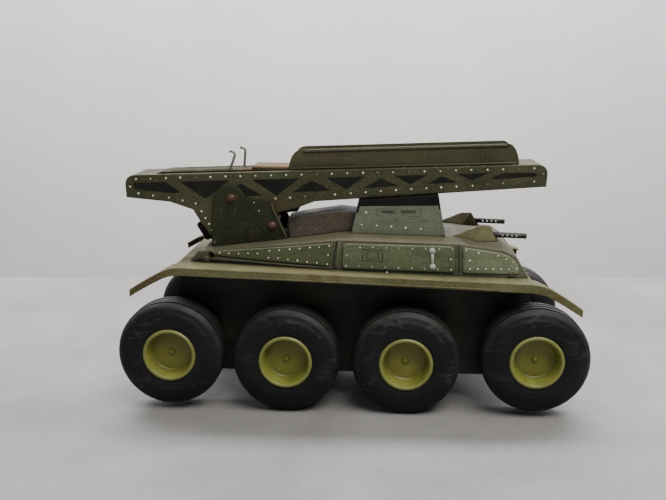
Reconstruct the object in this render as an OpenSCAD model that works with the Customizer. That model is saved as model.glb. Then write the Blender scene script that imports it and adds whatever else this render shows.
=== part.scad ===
// Tin toy rocket-launcher carrier on eight wheels, with a hinged launching girder.
// +X is forward, +Y is the toy's left, +Z is up, in millimetres.
// The origin is on the ground below the middle of the toy.

/* [Wheels] */
// Radius of the rubber tyres
tyre_r = 30; // [28:0.5:31]
// Width of a tyre
tyre_w = 22.7; // [22:0.1:23]
// Radius of the plastic hubs, which is also the bore of the tyres
hub_r = 15; // [14.5:0.5:17]
// Radius of the steel axles
axle_r = 1.6; // [1.2:0.1:2]
// Overall width over the wheels
track_w = 116; // [115:1:120]
// How far the two end axles ride above the middle ones
end_lift = 2.7; // [0:0.1:3]

/* [Body] */
// Thickness of the folded tin
tin = 0.7; // [0.5:0.1:0.9]
// Height of the fender plate's top at the middle of the toy
deck_z = 79.1; // [78:0.1:82]
// Nose-down slope of the deck, in degrees
deck_tilt = 1.92; // [1:0.01:2.5]
// Width of the fender plate
fender_w = 107; // [104:1:110]
// Depth of the folded edge of the fender plate
skirt_h = 4.8; // [3:0.1:6]
// Distance between the outer faces of the chassis walls
chassis_w = 66; // [62:1:66]

/* [Guns] */
// Distance between the two gun barrels
gun_gap = 45; // [44:1:46]
// How far the left gun sits behind the right one
left_setback = 6; // [0:0.5:7]

/* [Launcher] */
// Nose-up angle of the girder at rest, in degrees
girder_tilt = 1.9; // [1.7:0.1:2]
// Width of the girder over its side plates
girder_w = 32; // [30:0.5:32]
// Length of the girder behind the pivot
girder_rear = 62.5; // [55:0.5:63]
// Length of the girder in front of the pivot
girder_front = 182.4; // [175:0.1:184]
// Height of the girder's top face above the pivot
girder_top = 15; // [14:0.1:15]
// Height of the cradle walls
cradle_h = 12; // [8:0.5:13]
// Width of the cradle
cradle_w = 22; // [18:0.5:22]
// Travel of the launch hooks
launch_travel = 34; // [20:1:34]

/* [Friction drive] */
// Module of the gears
gear_module = 0.8; // [0.8]
// Teeth of the gear on the driven axle
drive_teeth = 30; // [30]
// Teeth of the gear on the idler shaft
idler_teeth = 36; // [36]
// Teeth of both pinions
pinion_teeth = 12; // [12]

/* [Hidden] */
$fn = 48;

half_track = track_w / 2;
axle_x = [-100.5, -35, 32, 103.3];
axle_z = [tyre_r + end_lift, tyre_r, tyre_r, tyre_r + end_lift];
shaft_gap = 0.06;

// Tyre section: sidewall, shoulder and tread, in radius and depth from the outer face
shoulder_r = 5.5;
sidewall_in = 1.1;
groove_w = 1.3;
groove_d = 1.6;
groove_at = [5.2, 9.3, 13.4, 17.5];

// Hub section
hub_depth = 8;
hub_boss_end = 24.4;
axle_reach = half_track - 8.6;

// Fender ends: where the horns start to bend down, the bend's radius and length, and their tips.
// The horns on the left side end sooner than those on the right.
rear_droop_x = -94;
rear_droop_r = 20;
rear_bend = 8.9;
rear_tip_x = -121.8;
left_rear_tip_x = -114;
front_droop_x = 99;
front_droop_r = 26;
front_bend = 13;
front_tip_x = 127.6;
left_front_tip_x = 108;
plate_rear_x = -98;
plate_front_x = 101;
horn_w = 5;
chassis_x = [-96, 100];

// Hull sections in the deck's frame: x, base half-width, shoulder half-width and height,
// roof half-width and height
hull_sections = [
    [-91, 36.5, 36, 1, 26, 1],
    [-87, 36.7, 35.6, 6, 26, 4.2],
    [-38, 38.8, 36.6, 12.4, 26, 11.8],
    [-8, 40.8, 37.5, 16.4, 26, 17],
    [2, 41, 37.5, 16.8, 26, 18.3],
    [60, 41, 37.5, 17.3, 26, 18.8],
    [85, 40, 36, 14.5, 26, 17.5],
    [92, 39.5, 35, 11.5, 28, 13],
    [99.5, 38.5, 37.9, 1, 28, 1]
];

// Turret: foot and top rectangles, in world heights that follow the girder's slope
turret_foot = [0, 54, 25];
turret_top = [4.3, 50, 18.5];
turret_top_z = [115.8, 119.3];

// Gun barrels in the deck's frame: rear end and radius
barrel_at = [81, 20.8];
barrel_r = 1.6;

// Launcher pivot, spacer rivet and lever pin
pivot_x = -70.5;
pivot_z = 115.7;
pivot_r = 1.5;
spacer_x = -46.5;
spacer_z = 99.7;
rivet_head_r = 2.5;
cheek_in = girder_w / 2 + 0.5;
cheek_out = cheek_in + 0.8;
catch_x = -81;
catch_z = 89.6;
catch_r = 1;
belly_r = 26;

// Launch slider, in the girder's frame
hook_y = 7.5;
hook_x = [-1, 4.8];
hook_r = 0.8;
slot_w = 2.4;
cover_w = 23;
cover_t = 1.1;
slider_z = 12.1;
slider_t = 1.7;
spring_x = [18.1, 62];
spring_z = 6.5;
spring_r = 2.6;

// Cradle, in the girder's frame
cradle_x = [34, 167];
cradle_rivet_r = 1.5;

// Rest pad below the girder, in its frame
pad_from = [29, -8.8];
pad_to = [37, -8.2];
pad_half_w = 9;

// Friction drive: shafts in the X-Z plane and layers across the toy
idler_dist = gear_module * (drive_teeth + pinion_teeth) / 2;
flywheel_dist = gear_module * (idler_teeth + pinion_teeth) / 2;
idler_dir = 118;
flywheel_dir = 162;
drive_at = [axle_x[2], axle_z[2]];
idler_at = drive_at + idler_dist * [cos(idler_dir), sin(idler_dir)];
flywheel_at = idler_at + flywheel_dist * [cos(flywheel_dir), sin(flywheel_dir)];
motor_half_w = 13;
motor_plate_t = 1;
shaft_r = 1.25;
drive_gear_y = [-11, -8];
idler_gear_y = [-6, -3.5];
flywheel_y = [0, 9];
flywheel_r = 17;

// Paint colours
olive = [0.33, 0.34, 0.24];
deep_green = [0.2, 0.23, 0.15];
hull_green = [0.36, 0.4, 0.3];
hub_green = [0.45, 0.45, 0.24];
rubber = [0.12, 0.12, 0.12];
steel = [0.6, 0.6, 0.6];
copper = [0.45, 0.28, 0.2];
brass = [0.7, 0.6, 0.35];
near_black = [0.08, 0.08, 0.07];
rusty = [0.32, 0.27, 0.22];

// ---- frames and helpers ----

// The deck's frame: x along the fender plate, z = 0 on its top
module on_deck() {
    translate([0, 0, deck_z]) rotate([0, deck_tilt, 0]) children();
}

// The girder's frame: origin at the pivot, x along the girder
module on_girder() {
    translate([pivot_x, 0, pivot_z]) rotate([0, -girder_tilt, 0]) children();
}

// Raises an outline drawn in X-Z into a plate between two Y positions
module plate_y(from, to) {
    translate([0, to, 0]) rotate([90, 0, 0]) linear_extrude(height = to - from) children();
}

// A round rod along Y
module rod_y(at, r, from, to) {
    translate([at[0], to, at[1]]) rotate([90, 0, 0]) cylinder(r = r, h = to - from);
}

// A round-ended bar in the plane
module bar2d(from, to, width) {
    run = to - from;
    translate(from) rotate(atan2(run[1], run[0]))
        translate([0, -width / 2]) square([norm(run), width]);
    translate(from) circle(d = width);
    translate(to) circle(d = width);
}

// The convex body round a list of points
module hull_of(points) {
    hull() for (p = points) translate(p) cube(0.01, center = true);
}

// A body skinned over rings of points; every ring has the same number of points
module skin(rings) {
    n = len(rings[0]);
    last = len(rings) - 1;
    sides = [for (i = [0:last - 1], j = [0:n - 1])
        each let (a = i * n + j, b = i * n + (j + 1) % n, c = a + n, d = b + n)
            [[a, b, c], [b, d, c]]];
    polyhedron(
        points = [for (ring = rings) each ring],
        faces = concat([[for (j = [n - 1:-1:0]) j]], sides, [[for (j = [0:n - 1]) last * n + j]]),
        convexity = 4
    );
}

function arc(centre, r, from, to, steps) =
    [for (i = [0:steps]) let (a = from + (to - from) * i / steps)
        centre + r * [cos(a), sin(a)]];

// ---- fender plate and chassis ----

// Drop of a horn that first bends round a radius and then runs on straight, sagging a little
function droop(run, r, bend) =
    run <= 0 ? 0
    : run <= bend ? r - sqrt(r * r - run * run)
    : r - sqrt(r * r - bend * bend) + (run - bend) * 0.54 + 0.004 * (run - bend) ^ 2;

// Height of the fender's top at x, in the deck's frame
function deck_at(x) =
    -droop(rear_droop_x - x, rear_droop_r, rear_bend)
    - droop(x - front_droop_x, front_droop_r, front_bend);

fender_xs = concat(
    [for (i = [0:9]) rear_tip_x + (rear_droop_x - rear_tip_x) * i / 9],
    [for (i = [0:9]) front_droop_x + (front_tip_x - front_droop_x) * i / 9]
);

// Depth of the side skirt at x: full in the middle, narrow at the horn tips
function skirt_at(x) =
    skirt_h - (x < -60 ? 0.8 * (-60 - x) / 62 : 0) - (x > 108 ? (x - 108) * 0.03 : 0);

module fender_band(depth) {
    polygon(concat(
        [for (x = fender_xs) [x, deck_at(x)]],
        [for (i = [len(fender_xs) - 1:-1:0]) let (x = fender_xs[i]) [x, deck_at(x) - depth]]
    ));
}

module skirt_outline() {
    polygon(concat(
        [for (x = fender_xs) [x, deck_at(x)]],
        [for (i = [len(fender_xs) - 1:-1:0]) let (x = fender_xs[i])
            [x, deck_at(x) - skirt_at(x)]]
    ));
}

// Plan of the fender plate: square ends between the horns, horns that narrow to their tips
module fender_plan() {
    w = fender_w / 2;
    inner = w - horn_w;
    half = [
        [rear_tip_x, w], [rear_tip_x, w - 3], [-106, inner], [plate_rear_x, w - 15],
        [plate_rear_x, -1], [plate_front_x, -1], [plate_front_x, w - 13], [110, inner],
        [front_tip_x, w - 3.5], [front_tip_x, w]
    ];
    polygon(half);
    mirror([0, 1]) polygon(half);
}

module fender_plate() {
    color(olive) on_deck() difference() {
        union() {
            intersection() {
                plate_y(-fender_w / 2, fender_w / 2) fender_band(tin);
                translate([0, 0, -40]) linear_extrude(height = 60) fender_plan();
            }
            for (side = [-1, 1])
                plate_y(
                    min(side * fender_w / 2, side * (fender_w / 2 - tin)),
                    max(side * fender_w / 2, side * (fender_w / 2 - tin))
                ) skirt_outline();
        }
        translate([left_rear_tip_x - 20, 1, -30]) cube([20, fender_w, 40]);
        translate([left_front_tip_x, 1, -30]) cube([30, fender_w, 40]);
    }
}

// Side of the chassis: slanted ends above, and a lobe round each end axle below
module chassis_side() {
    polygon([
        [chassis_x[0], -tin], [chassis_x[1], -tin], [chassis_x[1] + 4, -20],
        [chassis_x[1] + 11, -36], [chassis_x[1] + 11, -52], [chassis_x[1] + 6, -59],
        [chassis_x[0] - 7, -66], [chassis_x[0] - 12, -60], [chassis_x[0] - 12, -43],
        [chassis_x[0] - 4, -28]
    ]);
}

module chassis() {
    wall = chassis_w / 2;
    sheet = 0.8;
    end_h = 24;
    color(near_black) difference() {
        on_deck() {
            for (side = [-1, 1])
                plate_y(side > 0 ? wall - sheet : -wall, side > 0 ? wall : -wall + sheet)
                    chassis_side();
            translate([chassis_x[0], -wall, -tin - sheet])
                cube([chassis_x[1] - chassis_x[0], chassis_w, sheet]);
            for (x = [chassis_x[0], chassis_x[1] - sheet])
                translate([x, -wall, -tin - end_h]) cube([sheet, chassis_w, end_h]);
        }
        for (i = [0:3])
            rod_y([axle_x[i], axle_z[i]], axle_r + shaft_gap, -wall - 1, wall + 1);
        on_deck() plate_y(-wall - 1, wall + 1) polygon(concat(
            [for (x = fender_xs) [x, deck_at(x) - tin]],
            [[front_tip_x, 20], [rear_tip_x, 20]]
        ));
    }
}

// ---- hull, hump and turret ----

// The hull's outer body, which also trims what stands on it
module hull_body() {
    skin([for (s = hull_sections) [
        [s[0], -s[1], 0], [s[0], -s[2], s[3]], [s[0], -s[4], s[5]],
        [s[0], s[4], s[5]], [s[0], s[2], s[3]], [s[0], s[1], 0]
    ]]);
}

// The empty inside of the hull: it follows the shoulders and stays a tin's thickness below them
module hull_room() {
    last = len(hull_sections) - 1;
    wide = 35.5;
    plate_y(-wide, wide) polygon(concat(
        [[hull_sections[1][0] + 1, -1]],
        [for (i = [1:last - 1]) let (s = hull_sections[i])
            [s[0] + (i == 1 ? 1 : i == last - 1 ? -1 : 0), min(s[3], s[5]) - 1.5 * tin]],
        [[hull_sections[last - 1][0] + 4, -1]]
    ));
}

module hull_shell() {
    color(hull_green) on_deck() difference() {
        hull_body();
        hull_room();
    }
}

module hump() {
    foot = 6;
    color(rusty) on_deck() difference() {
        hull_of([
            [-40.7, -13.5, foot], [-40.7, 13.5, foot], [-38.6, -11, 22.6], [-38.6, 11, 22.6],
            [-35, -19, foot], [-35, 19, foot], [-31, -13, 24.4], [-31, 13, 24.4],
            [-8, -13, 28.6], [-8, 13, 28.6], [2.6, -13, 27.8], [2.6, 13, 27.8],
            [-1.4, -20, foot], [-1.4, 20, foot]
        ]);
        hull_body();
    }
}

module turret_solid(inset) {
    f = turret_foot;
    t = turret_top;
    hull_of([
        for (x = [f[0] + inset, f[1] - inset], y = [-f[2] + inset, f[2] - inset]) [x, y, 96.2],
        for (y = [-t[2] + inset, t[2] - inset]) [t[0] + inset, y, turret_top_z[0] - inset],
        for (y = [-t[2] + inset, t[2] - inset]) [t[1] - inset, y, turret_top_z[1] - inset]
    ]);
}

module turret() {
    color(hull_green) difference() {
        turret_solid(0);
        turret_solid(tin);
        on_deck() hull_body();
        on_deck() hull_of([
            for (p = [[-31, 24.4], [-8, 28.6], [2.6, 27.8], [-1.4, 6], [-31, 6]], y = [-1, 1])
                [p[0], y * (p[1] > 7 ? 13 : 20), p[1]]
        ]);
    }
}

// ---- guns ----

module gun_shield(side) {
    y = side * gun_gap / 2;
    set = side > 0 ? left_setback : 0;
    color(olive) difference() {
        on_deck() translate([-set, y, 0]) hull_of([
            [58, -1, 19], [69, -8.5, 14], [85.5, -8, 9], [85.5, 8, 9], [69, 8.5, 14],
            [72.5, 0, 25.3], [78.5, -0.5, 25.6], [84, 0, 17.5]
        ]);
        on_deck() hull_body();
        turret_solid(0);
        on_deck() translate([barrel_at[0] - set, y, barrel_at[1]])
            rotate([0, 90, 0]) cylinder(r = barrel_r, h = 10);
    }
}

module gun_barrel(side) {
    y = side * gun_gap / 2;
    set = side > 0 ? left_setback : 0;
    length = 18.5;
    color(near_black) on_deck() translate([barrel_at[0] - set, y, barrel_at[1]]) difference() {
        rotate([0, 90, 0]) cylinder(r = barrel_r, h = length);
        translate([length - 4, 0, 0]) rotate([0, 90, 0]) cylinder(r = 0.8, h = 5);
        for (i = [0:3])
            translate([5 + i * 2.7, -2, 0]) rotate([-90, 0, 0]) cylinder(r = 0.6, h = 4);
    }
}

// ---- launcher bracket, rivets and rear lever ----

module cheek_outline() {
    polygon([
        [-82.8, 84], [-82.2, 97], [-80.6, 117.4], [-79, 120.6], [-76.5, 122.2], [-73.5, 123],
        [-67.5, 122.9], [-64.6, 120.8], [-62.4, 117.5], [-60.8, 115.1], [-46.4, 115.1],
        [-45.2, 110], [-37.4, 93.4], [-38.4, 88]
    ]);
}

module launcher_bracket() {
    color(deep_green) difference() {
        union() {
            for (side = [-1, 1])
                plate_y(side > 0 ? cheek_in : -cheek_out, side > 0 ? cheek_out : -cheek_in)
                    cheek_outline();
            on_deck() plate_y(-cheek_in, cheek_in)
                polygon([[-76, 4], [-76, 6.75], [-40.8, 12.25], [-40.8, 9]]);
        }
        on_deck() hull_body();
        rod_y([pivot_x, pivot_z], pivot_r, -cheek_out - 1, cheek_out + 1);
        rod_y([spacer_x, spacer_z], pivot_r, -cheek_out - 1, cheek_out + 1);
        rod_y([catch_x, catch_z], catch_r, -cheek_out - 1, cheek_out + 1);
    }
}

// A rivet through both cheeks, with a domed head at each end
module cheek_rivet(at) {
    dome = 1.6;
    color(copper) translate([at[0], 0, at[1]]) {
        rod_y([0, 0], pivot_r, -cheek_out, cheek_out);
        for (side = [-1, 1])
            translate([0, side * cheek_out, 0]) rotate([-side * 90, 0, 0])
                rotate_extrude() polygon(concat([[0, 0], [rivet_head_r, 0], [rivet_head_r, 0.3]],
                    [for (a = [18:18:90]) [rivet_head_r * cos(a), 0.3 + (dome - 0.3) * sin(a)]]));
    }
}

module pivot_rivet() {
    cheek_rivet([pivot_x, pivot_z]);
}

module spacer_rivet() {
    cheek_rivet([spacer_x, spacer_z]);
}

module catch_lever() {
    strap_top = [-92.4, 97.4];
    elbow = [-88, 90];
    color(near_black) difference() {
        plate_y(-4, 4) {
            bar2d(strap_top, elbow, 3.6);
            bar2d(elbow, [catch_x, catch_z], 2.2);
            translate([catch_x, catch_z]) circle(r = 2.1);
        }
        rod_y([catch_x, catch_z], catch_r + shaft_gap, -5, 5);
    }
}

module catch_pin() {
    color(steel) rod_y([catch_x, catch_z], catch_r, -cheek_out, cheek_out);
}

module catch_spring() {
    color(steel) difference() {
        rod_y([catch_x, catch_z], 1.9, 4.5, 10);
        rod_y([catch_x, catch_z], catch_r + 0.2, 4, 11);
    }
}

// ---- girder and what it carries ----

// Side plate of the girder, with the deep belly round the pivot
module girder_side() {
    corner = 5;
    rear = -girder_rear;
    front = girder_front;
    polygon(concat(
        [[rear, 2.1], [-36.6, -1.2], [-23.3, -6.1], [-18.5, -14.6]],
        arc([0, 0], belly_r, 241, 292, 5),
        [[28.2, -8.8], [38, -6.8], [49, -3], [57.8, -2.6], [front - 0.6, 2.3]],
        arc([front - corner, girder_top - corner], corner, 0, 90, 4),
        arc([rear + corner, girder_top - corner], corner, 90, 180, 4)
    ));
}

module slots(from_z, to_z) {
    for (i = [0, 1])
        let (x = hook_x[i] + slot_w / 2, y = (i == 0 ? -1 : 1) * hook_y)
            translate([x - launch_travel - slot_w, y - slot_w / 2, from_z])
                cube([launch_travel + slot_w, slot_w, to_z - from_z]);
}

module girder() {
    half = girder_w / 2;
    color(deep_green) on_girder() difference() {
        union() {
            for (side = [-1, 1])
                plate_y(side > 0 ? half - tin : -half, side > 0 ? half : -half + tin) girder_side();
            plate_y(-half, half) polygon([
                [-girder_rear + 4, girder_top], [girder_front - 4, girder_top],
                [girder_front - 4, girder_top - tin], [-girder_rear + 4, girder_top - tin]
            ]);
        }
        rod_y([0, 0], pivot_r + shaft_gap, -half - 1, half + 1);
        slots(girder_top - 2, girder_top + 2);
    }
}

// Raised strip on top of the girder, with a sloped rear end
module slide_cover() {
    half = cover_w / 2;
    color(rusty) on_girder() difference() {
        plate_y(-half, half) polygon([
            [-45, girder_top], [cradle_x[0], girder_top],
            [cradle_x[0], girder_top + cover_t], [-41.5, girder_top + cover_t]
        ]);
        slots(girder_top - 2, girder_top + 3);
    }
}

// Side view of a cradle wall: quarter-ellipse ends
module cradle_side() {
    rear_run = 8;
    front_run = 6;
    steps = 6;
    polygon(concat(
        [[cradle_x[0], girder_top], [cradle_x[1], girder_top]],
        [for (i = [0:steps]) let (a = 90 * i / steps)
            [cradle_x[1] - front_run * (1 - cos(a)), girder_top + cradle_h * sin(a)]],
        [for (i = [steps:-1:0]) let (a = 90 * i / steps)
            [cradle_x[0] + rear_run * (1 - cos(a)), girder_top + cradle_h * sin(a)]]
    ));
}

module cradle_rivet_at() {
    for (x = [cradle_x[0] + 12, cradle_x[1] - 12], y = [-4.5, 4.5])
        translate([x, y, girder_top]) children();
}

module cradle() {
    half = cradle_w / 2;
    color(olive) on_girder() difference() {
        plate_y(-half, half) cradle_side();
        translate([cradle_x[0] - 1, -half + tin, girder_top + tin])
            cube([cradle_x[1] - cradle_x[0] + 2, cradle_w - 2 * tin, cradle_h + 2]);
        cradle_rivet_at() translate([0, 0, -1]) cylinder(r = cradle_rivet_r, h = 3);
    }
}

module cradle_rivets() {
    color(copper) on_girder() cradle_rivet_at() cylinder(r = cradle_rivet_r, h = tin);
}

// Two rails inside the girder that the slider runs on
module guide_rails() {
    half = girder_w / 2 - tin;
    color(steel) on_girder() for (side = [-1, 1])
        plate_y(side > 0 ? half - 2.6 : -half, side > 0 ? half : -half + 2.6) polygon([
            [-58, slider_z - 0.3], [24, slider_z - 0.3],
            [24, slider_z - 1.1], [-58, slider_z - 1.1]
        ]);
}

// Pad that the girder comes down on, above the hump, and the two tabs that hold it
module rest_pad() {
    tab = girder_w / 2 - tin;
    color(near_black) on_girder() {
        plate_y(-pad_half_w, pad_half_w) bar2d(pad_from, pad_to, 3.4);
        plate_y(-tab, tab) translate(pad_from + [0, 0.6]) square([3, 1.4]);
    }
}

module spring_anchor() {
    color(steel) on_girder() translate([spring_x[1] + 0.5, -3, 0]) {
        translate([0, 0, 3]) cube([0.8, 6, girder_top - tin - 3]);
        translate([0.8, 0, girder_top - tin - 0.8]) cube([5, 6, 0.8]);
    }
}

module launch_spring() {
    color(steel) on_girder() translate([spring_x[0], 0, spring_z]) rotate([0, 90, 0]) difference() {
        cylinder(r = spring_r, h = spring_x[1] - spring_x[0]);
        translate([0, 0, -1]) cylinder(r = spring_r - 0.6, h = spring_x[1] - spring_x[0] + 2);
    }
}

module launch_slider() {
    half = girder_w / 2 - tin - 0.4;
    color(steel) on_girder() difference() {
        union() {
            translate([-12, -half, slider_z]) cube([30, 2 * half, slider_t]);
            translate([17.2, -3, 3]) cube([0.8, 6, slider_z - 3 + 0.5]);
        }
        for (i = [0, 1])
            translate([hook_x[i], (i == 0 ? -1 : 1) * hook_y, slider_z - 1])
                cylinder(r = hook_r, h = slider_t + 2);
    }
}

// A bent wire: upright shank, lean forward and a tip that curls back
module launch_hook(i) {
    lean = [3, 1][i];
    rise = [27.2, 28][i];
    route = [
        [0, slider_z], [0, girder_top + cover_t + 1.2], [lean * 0.55, rise - 6.5],
        [lean, rise - 2.8], [lean - 0.3, rise - 1.3], [lean - 1.6, rise - 0.5], [lean - 3.2, rise - 0.6]
    ];
    color(steel) on_girder() translate([hook_x[i], (i == 0 ? -1 : 1) * hook_y, 0]) wire(route, hook_r);
}

// A round wire swept along points in the X-Z plane, starting upwards
module wire(route, r) {
    sides = 10;
    last = len(route) - 1;
    skin([for (k = [0:last])
        let (
            run = route[min(k + 1, last)] - route[max(k - 1, 0)],
            heading = k == 0 ? 90 : atan2(run[1], run[0])
        )
        [for (j = [0:sides - 1]) let (a = 360 * j / sides, out = r * cos(a))
            [route[k][0] + out * sin(heading), -r * sin(a), route[k][1] - out * cos(heading)]]
    ]);
}

// ---- wheels ----

// Puts a wheel part at its axle end: local +Z points from the outer face inwards
module at_wheel(i, side) {
    translate([axle_x[i], side * half_track, axle_z[i]]) rotate([side * 90, 0, 0]) children();
}

module tyre(i, side) {
    edge = 1.1;
    tread = tyre_r;
    lower = arc([tread - shoulder_r, edge + shoulder_r], shoulder_r, -78, 0, 5);
    upper = arc([tread - shoulder_r, tyre_w - edge - shoulder_r], shoulder_r, 0, 78, 5);
    color(rubber) at_wheel(i, side) rotate_extrude($fn = 72) difference() {
        polygon(concat(
            [[hub_r, sidewall_in], [17.5, 0.35], [20.5, 0], [23.5, 0.35]], lower, upper,
            [[23.5, tyre_w - 0.35], [20.5, tyre_w], [17.5, tyre_w - 0.35], [hub_r, tyre_w - sidewall_in]]
        ));
        for (d = groove_at) translate([tread - groove_d, d - groove_w / 2]) square([groove_d + 1, groove_w]);
    }
}

module hub(i, side) {
    color(hub_green) at_wheel(i, side) rotate_extrude($fn = 72) polygon([
        [0, 6.3], [0.8, 6.45], [1.4, 6.9], [1.9, hub_depth], [10.3, hub_depth], [10.9, 7.5],
        [12.7, 1.4], [13, 0.6], [13.6, 0.25], [14.4, 0.3], [hub_r, 1], [hub_r, 21.6],
        [12.8, 21.6], [12.8, 10], [5, 10], [5, hub_boss_end], [axle_r, hub_boss_end],
        [axle_r, 8.6], [0, 8.6]
    ]);
}

module axle(i) {
    color(steel) rod_y([axle_x[i], axle_z[i]], axle_r, -axle_reach, axle_reach);
}

// ---- friction drive ----

// Involute gear outline with one tooth centred on +X; the teeth are thinned for backlash
module gear2d(teeth, thin) {
    pitch = gear_module * teeth / 2;
    base = pitch * cos(20);
    tip = pitch + gear_module * 0.9;
    root = pitch - gear_module * 1.2;
    function roll(r) = r <= base ? 0 : let (t = acos(base / r)) tan(t) * 180 / PI - t;
    half_at_base = 90 / teeth * thin + roll(pitch);
    low = max(base, root);
    flank = [for (k = [0:4]) low + (tip - low) * k / 4];
    polygon([for (t = [0:teeth - 1]) let (a = 360 * t / teeth)
        each concat(
            [root * [cos(a - half_at_base * 1.1), sin(a - half_at_base * 1.1)]],
            [for (r = flank) r * [cos(a - half_at_base + roll(r)), sin(a - half_at_base + roll(r))]],
            [for (k = [4:-1:0]) let (r = flank[k])
                r * [cos(a + half_at_base - roll(r)), sin(a + half_at_base - roll(r))]],
            [root * [cos(a + half_at_base * 1.1), sin(a + half_at_base * 1.1)]]
        )
    ]);
}

// A gear on a shaft along Y, its first tooth at an angle in the X-Z plane, with a bore
module gear(at, teeth, first_tooth, from, to, bore) {
    translate([at[0], 0, at[1]]) difference() {
        plate_y(from, to) rotate(first_tooth) gear2d(teeth, 0.86);
        if (bore > 0) rod_y([0, 0], bore, from - 1, to + 1);
    }
}

motor_outline = [
    [axle_x[2] + 13, 24], [axle_x[2] + 13, 57], [flywheel_at[0] + 6, 68],
    [flywheel_at[0] - 19, 68], [flywheel_at[0] - 19, 42], [axle_x[2] - 28, 27],
    [axle_x[2] - 9, 24]
];
pillar_at = [
    [axle_x[2] + 9.5, 54], [flywheel_at[0] - 15.5, 64], [axle_x[2] - 22, 31]
];

module motor_plate(side) {
    from = side > 0 ? motor_half_w - motor_plate_t : -motor_half_w;
    color(steel) difference() {
        plate_y(from, from + motor_plate_t) polygon(motor_outline);
        rod_y(drive_at, axle_r + shaft_gap, from - 1, from + 3);
        rod_y(idler_at, shaft_r + shaft_gap, from - 1, from + 3);
        rod_y(flywheel_at, shaft_r + shaft_gap, from - 1, from + 3);
    }
}

// Pillars between the motor plates, and the two straps that hang the motor from the chassis web
module motor_pillars() {
    inside = motor_half_w - motor_plate_t;
    strap_x = [-4, 8];
    color(steel) {
        for (p = pillar_at) rod_y(p, 1.8, -inside, inside);
        difference() {
            for (side = [-1, 1])
                plate_y(
                    side > 0 ? motor_half_w : -motor_half_w - 1,
                    side > 0 ? motor_half_w + 1 : -motor_half_w
                ) translate([strap_x[0], 60]) square([strap_x[1] - strap_x[0], deck_z - 60]);
            on_deck() translate([-50, -50, -tin - 0.8]) cube([100, 100, 20]);
        }
    }
}

module drive_gear() {
    color(brass) gear(drive_at, drive_teeth, idler_dir, drive_gear_y[0], drive_gear_y[1], axle_r);
}

// Shaft with its pinion in one piece; the pinion has a gap towards the gear that drives it
module pinion_shaft(at, towards, pinion_y, reach) {
    first = towards + 180 + 180 / pinion_teeth;
    color(steel) union() {
        rod_y(at, shaft_r, -reach, reach);
        gear(at, pinion_teeth, first, pinion_y[0], pinion_y[1], 0);
    }
}

module idler_shaft() {
    pinion_shaft(idler_at, idler_dir, [drive_gear_y[0] - 0.3, drive_gear_y[1] + 0.3], motor_half_w);
}

module idler_gear() {
    color(brass) gear(idler_at, idler_teeth, flywheel_dir, idler_gear_y[0], idler_gear_y[1], shaft_r);
}

module flywheel_shaft() {
    pinion_shaft(flywheel_at, flywheel_dir, [idler_gear_y[0] - 0.3, idler_gear_y[1] + 0.3], motor_half_w);
}

module flywheel() {
    color(steel) difference() {
        rod_y(flywheel_at, flywheel_r, flywheel_y[0], flywheel_y[1]);
        rod_y(flywheel_at, shaft_r, flywheel_y[0] - 1, flywheel_y[1] + 1);
    }
}

// ---- what is drawn ----

side_name = ["right", "left"];
side_sign = [-1, 1];

chassis();
fender_plate();
hull_shell();
hump();
turret();
launcher_bracket();
pivot_rivet();
spacer_rivet();
catch_lever();
catch_pin();
catch_spring();
girder();
slide_cover();
cradle();
cradle_rivets();
guide_rails();
spring_anchor();
rest_pad();
launch_spring();
launch_slider();
motor_pillars();
drive_gear();
idler_shaft();
idler_gear();
flywheel_shaft();
flywheel();
for (s = [0, 1]) {
    gun_shield(side_sign[s]);
    gun_barrel(side_sign[s]);
    launch_hook(s);
    motor_plate(side_sign[s]);
}
for (i = [0:3]) {
    axle(i);
    for (s = [0, 1]) {
        hub(i, side_sign[s]);
        tyre(i, side_sign[s]);
    }
}
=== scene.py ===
import math
import random

import bmesh
import bpy
from mathutils import Matrix, Vector
from mathutils.bvhtree import BVHTree


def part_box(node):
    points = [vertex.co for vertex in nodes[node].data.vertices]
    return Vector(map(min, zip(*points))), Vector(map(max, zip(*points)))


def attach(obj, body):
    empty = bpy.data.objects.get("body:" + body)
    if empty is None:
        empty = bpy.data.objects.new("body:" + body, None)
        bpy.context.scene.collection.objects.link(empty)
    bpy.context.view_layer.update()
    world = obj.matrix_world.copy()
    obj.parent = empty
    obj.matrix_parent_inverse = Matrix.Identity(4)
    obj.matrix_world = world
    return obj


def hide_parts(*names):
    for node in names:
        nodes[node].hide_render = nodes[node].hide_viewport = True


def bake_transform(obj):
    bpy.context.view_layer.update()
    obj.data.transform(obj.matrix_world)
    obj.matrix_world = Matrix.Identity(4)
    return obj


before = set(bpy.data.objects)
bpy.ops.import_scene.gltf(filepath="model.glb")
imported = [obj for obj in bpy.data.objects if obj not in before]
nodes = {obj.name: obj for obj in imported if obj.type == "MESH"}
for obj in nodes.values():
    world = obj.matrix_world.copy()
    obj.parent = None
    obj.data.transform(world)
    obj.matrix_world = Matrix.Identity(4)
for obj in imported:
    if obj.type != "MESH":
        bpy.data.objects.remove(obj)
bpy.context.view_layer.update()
random.seed(11)
MM = 0.001

# Frames of the CAD part, from part.scad: the deck slopes nose-down, the girder nose-up
DECK_Z, DECK_TILT = 79.1, 1.92
PIVOT_X, PIVOT_Z, GIRDER_TILT = -70.5, 115.7, 1.9
AXLE_X = (-100.5, -35.0, 32.0, 103.3)
AXLE_Z = (32.7, 30.0, 30.0, 32.7)

# Radii, in millimetres, that a ramp from 0 to 1 runs over on a tyre and on a hub
TYRE_SPAN, HUB_SPAN = 40, 15

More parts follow.
